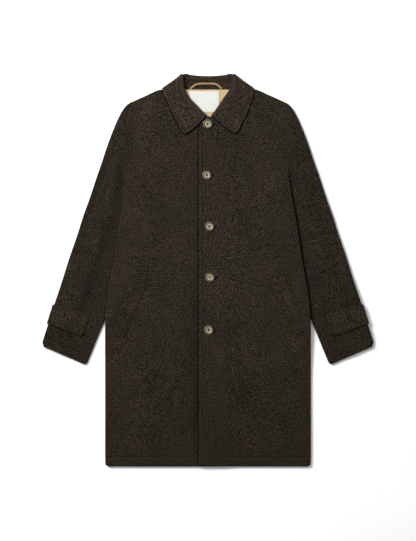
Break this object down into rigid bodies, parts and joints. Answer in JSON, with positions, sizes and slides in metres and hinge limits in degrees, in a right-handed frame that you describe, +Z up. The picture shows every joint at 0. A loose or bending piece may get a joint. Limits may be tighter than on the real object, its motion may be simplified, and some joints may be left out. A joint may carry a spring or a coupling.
{
  "type": "long wool coat",
  "caption": "Long herringbone tweed coat with a shirt collar, laid flat and buttoned, with set-in sleeves, cuff straps and slanted pocket welts.",
  "frame": {"origin": "centre of the box's underside, on the surface that the coat lies on", "axes": "+Z up, out of the coat's front; +Y towards the collar; +X towards the wearer's left sleeve"},
  "size_m": [0.9288, 1.1, 0.0196],
  "materials": {
    "tweed": "woven herringbone wool, dry and slightly fuzzy",
    "satin_lining": "smooth satin",
    "label_tape": "woven tape",
    "horn": "polished horn"
  },
  "bodies": {
    "root": {"back": "tweed", "front_left": "tweed", "front_right": "tweed", "sleeve_left": "tweed", "sleeve_right": "tweed", "cuff_strap_left": "tweed", "cuff_strap_right": "tweed", "pocket_welt_left": "tweed", "pocket_welt_right": "tweed", "collar_stand": "tweed", "collar_fall": "tweed", "neck_lining": "satin_lining", "neck_label": "label_tape", "hanger_loop": "satin_lining", "button_1": "horn", "button_2": "horn", "button_3": "horn", "button_4": "horn", "button_5": "horn"}
  },
  "joints": []
}
